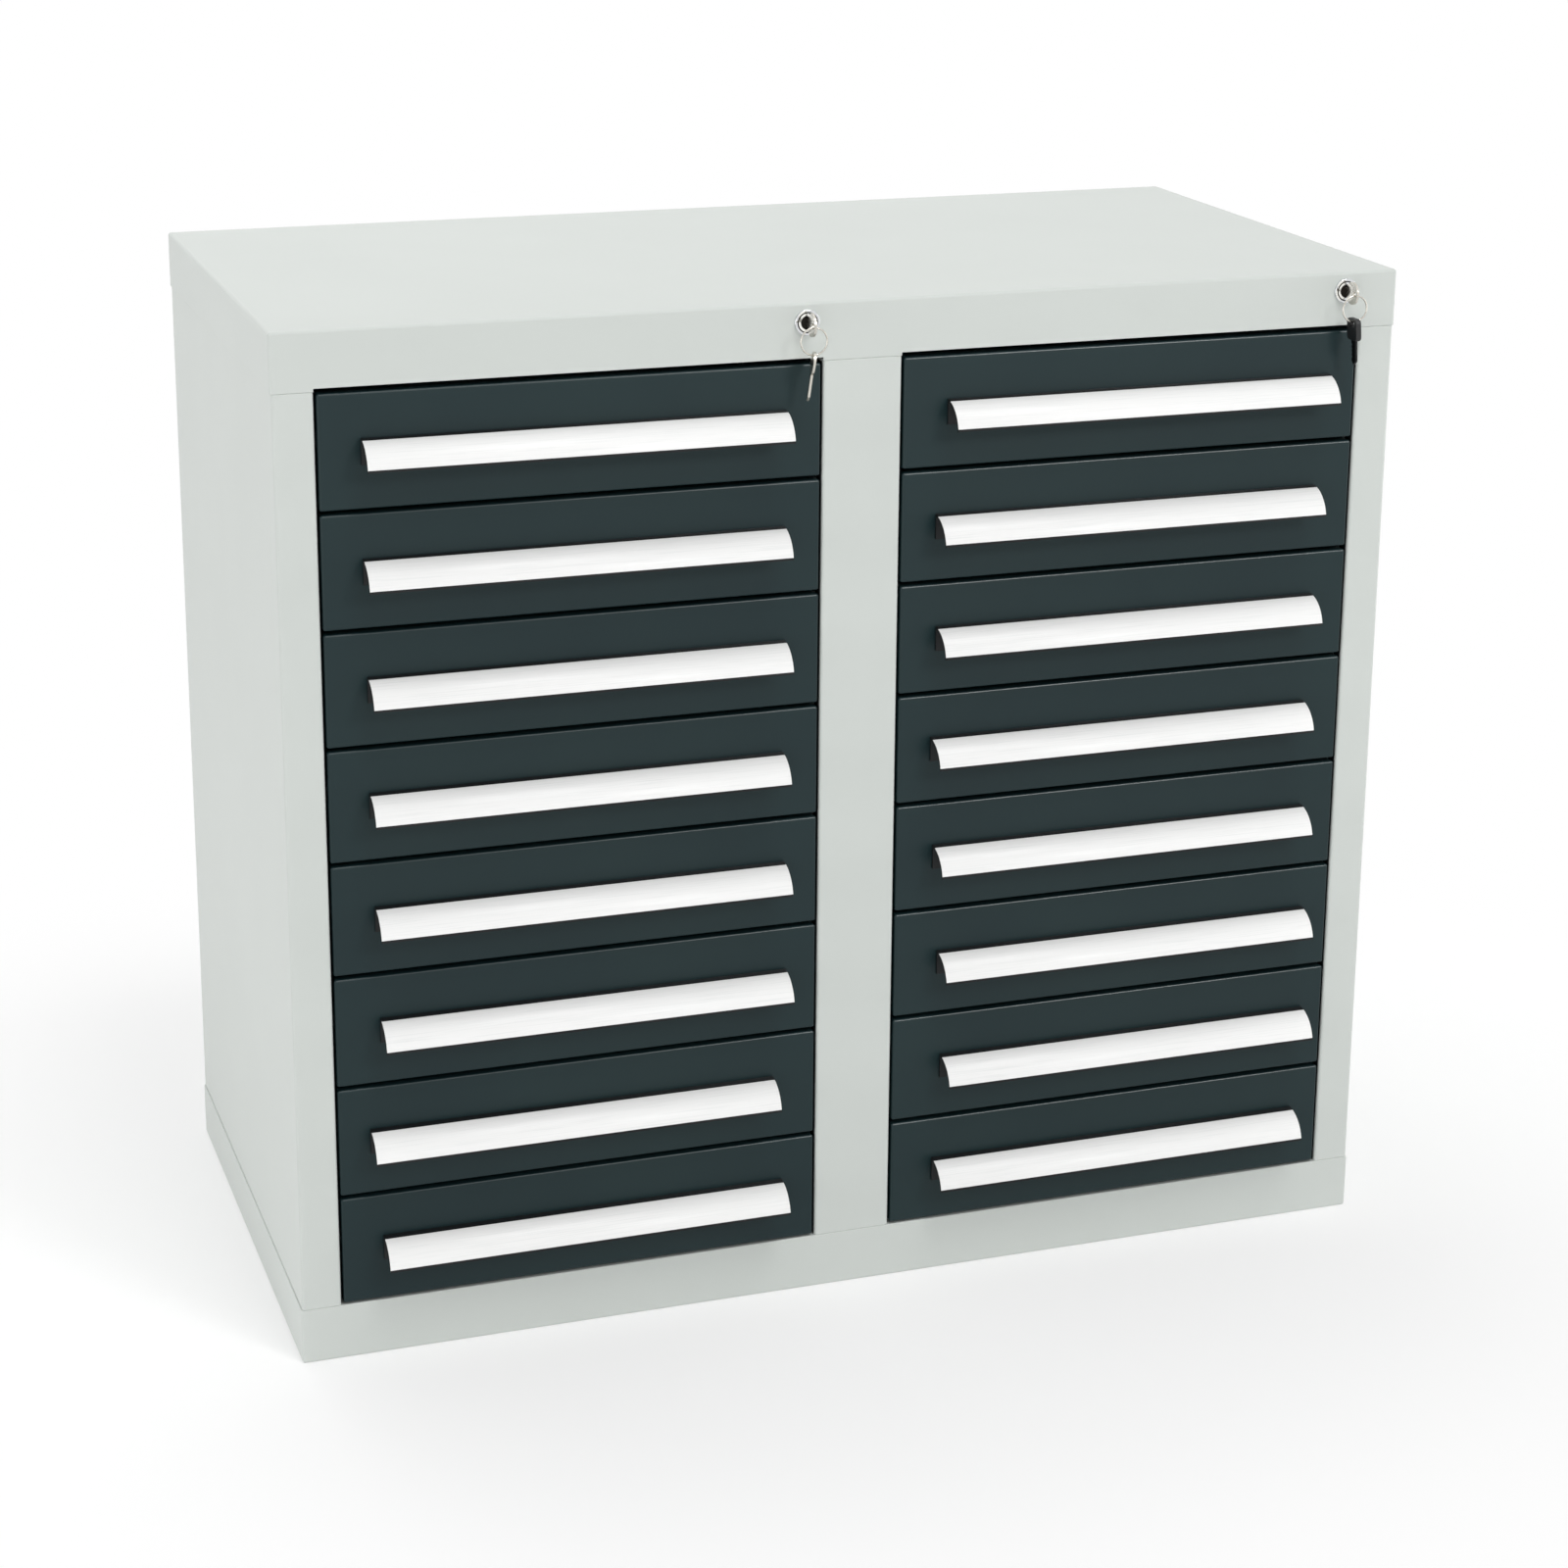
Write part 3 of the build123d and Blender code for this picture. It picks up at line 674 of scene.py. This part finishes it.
@dataclass
class Grip:
    """Hooded profile with a label strip in its curved face, modelled once and copied to each drawer."""

    plastic: bpy.types.Material
    label: bpy.types.Material
    radius: float = 27.0 * MM
    wall: float = 2.0 * MM
    # Angles about the hood's axis are in degrees, from straight up towards the front.
    sweep: float = 82.0
    label_start: float = 14.0
    label_end: float = 78.0
    label_gap: float = 0.25
    label_thickness: float = 0.5 * MM
    label_rounding: float = 0.08 * MM
    recess: float = 0.6 * MM
    lip_step: float = 0.2 * MM
    flange: float = 20.0 * MM
    flange_bite: float = 0.6 * MM
    rounding: float = 0.25 * MM
    facets: int = 256

    def strip(
        self, name: str, radius: float, wall: float, start: float, end: float, length: float
    ) -> bpy.types.Object:
        """A curved strip about the X axis, cut from a cylinder.

        Args:
            name: the piece's name.
            radius: outer radius.
            wall: thickness, towards the axis.
            start: first angle, in degrees from straight up towards the front.
            end: last angle.
            length: length along X.

        Returns:
            The strip, with its axis on the X axis.
        """
        Bench.clear()
        across = (0, math.pi / 2, 0)
        bpy.ops.mesh.primitive_cylinder_add(
            vertices=self.facets, radius=radius, depth=length, end_fill_type="NOTHING", rotation=across
        )
        piece = Bench.named(name)
        first, last = math.radians(start), math.radians(end)
        Bench.cut(piece, (0, 0, 0), (0, math.cos(first), math.sin(first)), fill=False)
        Bench.cut(piece, (0, 0, 0), (0, -math.cos(last), -math.sin(last)), fill=False)
        Bench.outward(piece)
        outside = piece.data.polygons[0]
        inward = outside.normal.dot(Vector((0, outside.center.y, outside.center.z))) < 0
        Bench.modify(piece, "SOLIDIFY", thickness=wall, offset=1.0 if inward else -1.0)
        Bench.outward(piece)
        return piece

    def masters(self, length: float) -> tuple[bpy.types.Object, bpy.types.Object]:
        """Model the profile and the label strip.

        Args:
            length: the grip's length.

        Returns:
            Profile and label, the hood's axis on the X axis.
        """
        core = self.radius - self.recess
        inner = self.radius - self.wall
        profile = self.strip("profile_master", core, core - inner, 0, self.sweep, length)
        lips = []
        for name, start, end in (("top_lip", 0, self.label_start), ("front_lip", self.label_end, self.sweep)):
            lips.append(self.strip(name, self.radius, self.wall - self.lip_step, start, end, length))
        low = (-length / 2, -self.wall, inner - self.flange)
        flange = Bench.block("flange", low, (length / 2, 0, inner + self.flange_bite))
        Bench.merge(profile, [*lips, flange])
        Bench.outward(profile)
        Bench.soften(profile, self.rounding)
        outer = core + self.label_thickness
        start, end = self.label_start + self.label_gap, self.label_end - self.label_gap
        strip = self.strip("label_master", outer, self.label_thickness, start, end, length)
        Bench.soften(strip, self.label_rounding)
        return profile, strip

    def build(self) -> None:
        """Put a grip on every drawer."""
        low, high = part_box("grip_left_1")
        masters = self.masters(high.x - low.x)
        for bank in Bank:
            for row in range(1, ROWS + 1):
                node = f"grip_{bank.value}_{row}"
                body = f"drawer_{bank.value}_{row}_body"
                low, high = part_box(node)
                move = Matrix.Translation(((low.x + high.x) / 2, high.y, high.z - self.radius))
                profile = Bench.copy(masters[0], f"{node}_profile", move)
                place_piece(profile, body, self.plastic)
                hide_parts(node)
                strip = Bench.copy(masters[1], f"{node}_label", move)
                place_piece(strip, body, self.label)
        for master in masters:
            bpy.data.objects.remove(master)


@dataclass
class Drawers:
    """The sixteen folded drawers."""

    paint: bpy.types.Material

    def dress(self) -> None:
        """Paint every drawer."""
        dress_nodes(drawer_nodes(), self.paint)


@dataclass
class Locks:
    """Cylinder locks with their keys, rings and locking bars."""

    chrome: bpy.types.Material
    # The core's finish also paints shade into the groove round each lock's face.
    core: bpy.types.Material
    nickel: bpy.types.Material
    zinc: bpy.types.Material
    head: bpy.types.Material
    key_painted_dark_reflection: bpy.types.Material
    groove_inner: float = 7.8 * MM
    groove_outer: float = 9.1 * MM
    groove_start: float = 0.05 * MM
    groove_end: float = 0.9 * MM

    def paint_groove_shade(self, node: str) -> None:
        """Paint the groove round a lock's face in the core's dark finish, as painted shade in the groove.

        Args:
            node: the lock body's node.
        """
        low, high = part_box(node)
        axis = Vector(((low.x + high.x) / 2, (low.z + high.z) / 2))
        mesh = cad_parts[node].data
        # The groove's faces take the dark core finish as painted shade.
        mesh.materials.append(self.core)
        for face in mesh.polygons:
            out = (Vector((face.center.x, face.center.z)) - axis).length
            deep = face.center.y - low.y
            if self.groove_inner < out < self.groove_outer and self.groove_start < deep < self.groove_end:
                face.material_index = 1

    def dress(self) -> None:
        """Plate and polish the lock parts."""
        for bank in Bank:
            side = bank.value
            dress_nodes((f"{side}_lock_body",), self.chrome)
            self.paint_groove_shade(f"{side}_lock_body")
            dress_nodes((f"{side}_lock_plug",), self.core)
            dress_nodes((f"{side}_lock_key", f"{side}_key_ring"), self.nickel)
            dress_nodes((f"{side}_lock_nut", f"{side}_lock_cam", f"{side}_locking_bar"), self.zinc)
        dress_nodes(("left_spare_key",), self.nickel)
        # The right spare key's dark grey blade is a painted reflection of the dark fronts.
        dress_nodes(("right_spare_key",), self.key_painted_dark_reflection)
        dress_nodes(("right_spare_key_head",), self.head)


@dataclass
class Studio:
    """White room, soft lamps and the camera."""

    # The camera's pose was solved from the cabinet's corners in the photograph, 1600 pixels wide.
    frame_px: float = 1600.0
    focal_px: float = 3440.0
    centre_px: float = 608.0
    azimuth: float = -18.96
    elevation: float = 15.64
    roll: float = 0.42
    offset: tuple[float, float, float] = (-0.0206, -0.5553, 3.2797)
    sensor_mm: float = 36.0
    surround_light: float = 0.37
    surround_seen: float = 1.0
    floor_size: float = 24.0
    floor_colour: str = "#FEFEFE"
    floor_white: float = 0.45
    fade: tuple[float, float] = (0.66, 1.35)
    fade_scale: tuple[float, float, float] = (1.0, 1.2, 1.0)
    middle: tuple[float, float, float] = (0.0, 0.0, 0.45)
    base: tuple[float, float, float] = (0.0, 0.0, 0.1)

    def camera(self) -> None:
        """Place the camera at the photograph's viewing angle."""
        a, e, r = (math.radians(angle) for angle in (self.azimuth, self.elevation, self.roll))
        back = Vector((math.sin(a) * math.cos(e), -math.cos(a) * math.cos(e), math.sin(e)))
        level_right = (-back).cross(Vector((0, 0, 1))).normalized()
        level_up = level_right.cross(-back)
        right = level_right * math.cos(r) + level_up * math.sin(r)
        up = level_up * math.cos(r) - level_right * math.sin(r)
        across, over, away = self.offset
        spot = back * away - right * across - up * over
        data = bpy.data.cameras.new("photo_camera")
        data.sensor_width = self.sensor_mm
        data.lens = self.focal_px / self.frame_px * self.sensor_mm
        data.shift_y = (self.centre_px - self.frame_px / 2) / self.frame_px
        camera = bpy.data.objects.new("photo_camera", data)
        turn = Matrix((right, up, back)).transposed().to_4x4()
        camera.matrix_world = Matrix.Translation(spot) @ turn
        bpy.context.scene.collection.objects.link(camera)
        bpy.context.scene.camera = camera

    def seen_white(self, tree: bpy.types.NodeTree) -> bpy.types.NodeSocket:
        """Tell the rays that should see a white studio from those that light the cabinet.

        Args:
            tree: the node tree that asks.

        Returns:
            One for rays from the camera, or mirrored or bent by a surface, and zero for the rest.
        """
        path = add_node(tree, "ShaderNodeLightPath")
        total = path.outputs[Ray.CAMERA.value]
        for ray in (Ray.GLOSSY, Ray.TRANSMISSION):
            either = {0: total, 1: path.outputs[ray.value]}
            total = add_node(tree, "ShaderNodeMath", {"operation": "MAXIMUM"}, either).outputs["Value"]
        return total

    def world(self) -> None:
        """Even white surround, white to the eye and gentler as light."""
        world = bpy.data.worlds.new("studio")
        world.use_nodes = True
        tree = world.node_tree
        tree.nodes.clear()
        span = {"To Min": self.surround_light, "To Max": self.surround_seen}
        level = add_node(tree, "ShaderNodeMapRange", span, {"Value": self.seen_white(tree)})
        strength = {"Strength": level.outputs["Result"]}
        light = add_node(tree, "ShaderNodeBackground", {"Color": WHITE}, strength)
        add_node(tree, "ShaderNodeOutputWorld", links={"Surface": light.outputs["Background"]})
        bpy.context.scene.world = world

    def floor(self) -> None:
        """Pale floor that keeps the cabinet's shadow and fades to the white surround further out."""
        Bench.clear()
        bpy.ops.mesh.primitive_plane_add(size=self.floor_size)
        ground = Bench.named("floor")
        # Matt studio card: it takes the soft shadow and shows no gloss.
        material = bpy.data.materials.new("pale_floor")
        material.use_nodes = True
        tree = material.node_tree
        tree.nodes.clear()
        matt = add_node(tree, "ShaderNodeBsdfDiffuse", {"Color": linear(self.floor_colour)})
        white = add_node(tree, "ShaderNodeEmission", {"Color": WHITE, "Strength": self.surround_seen})
        place = add_node(tree, "ShaderNodeTexCoord").outputs["Object"]
        footprint = add_node(tree, "ShaderNodeMapping", {"Scale": self.fade_scale}, {"Vector": place})
        measured = {0: footprint.outputs["Vector"]}
        reach = add_node(tree, "ShaderNodeVectorMath", {"operation": "LENGTH"}, measured)
        span = {
            "interpolation_type": "SMOOTHSTEP",
            "From Min": self.fade[0],
            "From Max": self.fade[1],
            "To Min": self.floor_white,
        }
        fade = add_node(tree, "ShaderNodeMapRange", span, {"Value": reach.outputs["Value"]})
        factors = {0: fade.outputs["Result"], 1: self.seen_white(tree)}
        seen = add_node(tree, "ShaderNodeMath", {"operation": "MULTIPLY"}, factors)
        sockets = {"Fac": seen.outputs["Value"], 1: matt.outputs["BSDF"], 2: white.outputs["Emission"]}
        mix = add_node(tree, "ShaderNodeMixShader", links=sockets)
        add_node(tree, "ShaderNodeOutputMaterial", links={"Surface": mix.outputs["Shader"]})
        dress(ground, material)

    def lamp(
        self,
        name: str,
        spot: Sequence[float],
        size: float,
        power: float,
        aim: Sequence[float],
        use: LampUse = LampUse.FULL,
        only: Sequence[str] = (),
    ) -> None:
        """Hang a square soft lamp.

        Args:
            name: the lamp's name.
            spot: where it hangs.
            size: its side.
            power: watts.
            aim: the point it faces.
            use: what it gives a surface.
            only: the CAD nodes that receive it, or none for everything.
        """
        data = bpy.data.lights.new(name, "AREA")
        data.shape = "SQUARE"
        data.size = size
        data.energy = power
        lamp = bpy.data.objects.new(name, data)
        lamp.location = spot
        lamp.rotation_euler = (Vector(aim) - Vector(spot)).to_track_quat("-Z", "Y").to_euler()
        lamp.visible_diffuse = use is not LampUse.GLEAM
        lamp.visible_glossy = use is not LampUse.LIGHT
        bpy.context.scene.collection.objects.link(lamp)
        if only:
            receivers = bpy.data.collections.new(f"{name}_receivers")
            for node in only:
                receivers.objects.link(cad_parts[node])
            lamp.light_linking.receiver_collection = receivers

    def light(self) -> None:
        """Hang the lamps round the cabinet."""
        self.lamp("key_lamp", spot=(1.6, -3.7, 2.7), size=0.9, power=35.0, aim=self.middle)
        # The edge lamp's mirror image lies along the bent top edges of the fronts, most on the right bank.
        gleam = {"use": LampUse.GLEAM, "only": drawer_nodes()}
        self.lamp("edge_lamp", spot=(2.0, -3.7, 2.7), size=0.9, power=185.0, aim=self.middle, **gleam)
        self.lamp("fill_lamp", spot=(-1.6, -3.2, 0.5), size=1.6, power=13.0, aim=self.base)
        self.lamp("left_lamp", spot=(-3.2, -0.6, 0.5), size=2.0, power=25.0, aim=self.middle)
        self.lamp("right_lamp", spot=(3.4, -0.6, 1.0), size=2.0, power=26.0, aim=self.middle)
        # The back lamp lies in the mirror direction of the cover's bends, so it gives no mirror image.
        back_spot = (-1.0, 3.8, 1.2)
        self.lamp("back_lamp", spot=back_spot, size=2.0, power=34.0, aim=self.middle, use=LampUse.LIGHT)
        self.lamp("sky_lamp", spot=(-0.6, 1.0, 3.4), size=2.4, power=33.0, aim=self.middle)
        self.lamp("top_lamp", spot=(0.9, -3.7, 8.0), size=2.4, power=195.0, aim=self.middle)

    def build(self) -> None:
        """Set up the whole studio."""
        self.camera()
        self.world()
        self.floor()
        self.light()
        bpy.context.scene.view_settings.view_transform = "Standard"


def main() -> None:
    """Build and dress the cabinet, then set up the studio."""
    logging.basicConfig(level=logging.INFO, format="%(name)s: %(message)s")
    along_blade = (1.0, 1.0, 0.1)
    # Polyester powder, sprayed and baked: an even pale grey with a slight green and a soft sheen.
    body_paint = PowderCoat("light_grey_powder_coat", "#CCD1CD", "#CED3CF", roughness=0.42).build()
    # The same powder in anthracite flows out smoother, so the bends of the fronts carry light lines.
    drawer_paint = PowderCoat(
        "anthracite_powder_coat", "#16292C", "#1A2D2F", roughness=0.34, specular=0.25
    ).build()
    # Steel plated with zinc: pale and half dull, in faint spangles a few millimetres wide.
    zinc = Metal(
        "zinc_plated_steel", "#A9ADB0", "#C3C7C9", roughness=(0.28, 0.42), mark_mm=3.0, spangle=True
    ).build()
    # Chrome on polished metal: nearly a mirror, with a faint haze.
    chrome = Metal("polished_chrome", "#D2D4D6", "#DEE0E1", roughness=(0.06, 0.14), mark_mm=4.0).build()
    # A blackened lock core: nearly black and half dull, with fine tool marks; the same finish is painted
    # shade in the groove round each lock's face.
    core = Metal("dark_lock_core_and_groove_shade", "#1C1B1A", "#302E2B", roughness=(0.3, 0.45), mark_mm=0.6).build()
    # Stamped keys plated with nickel: a warm pale grey, with fine lines along the blade.
    nickel = Metal(
        "nickel_plated_keys", "#BDB9B0", "#D3D0C8", roughness=(0.18, 0.32), mark_mm=0.5, stretch=along_blade
    ).build()
    # A stamped key in dark grey, with the same lines and a duller gloss: its blade's dark reflection of the
    # fronts is painted into its colour.
    key_painted_dark_reflection = Metal(
        "key_steel_painted_dark_reflection", "#1E1F20", "#2E2F30", roughness=(0.3, 0.42), mark_mm=0.5, stretch=along_blade
    ).build()
    # A head moulded round the key: black, with a fine even grain.
    head = MouldedPlastic("black_key_head", "#08090A", "#121416").build()
    # A profile drawn through a die: black, with faint lines along its length; the same plastic makes the
    # black strips of painted shade beside the fronts.
    plastic = ExtrudedPlastic().build()
    # Card slid in behind clear film: near white, brighter where the film's curve faces the light.
    label = LabelFilm().build()

    Carcass(body_paint, zinc, plastic).build()
    Drawers(drawer_paint).dress()
    Grip(plastic, label).build()
    Locks(chrome, core, nickel, zinc, head, key_painted_dark_reflection).dress()
    Studio().build()

    log.info("CAD box and visual box written")


if __name__ == "__main__":
    main()
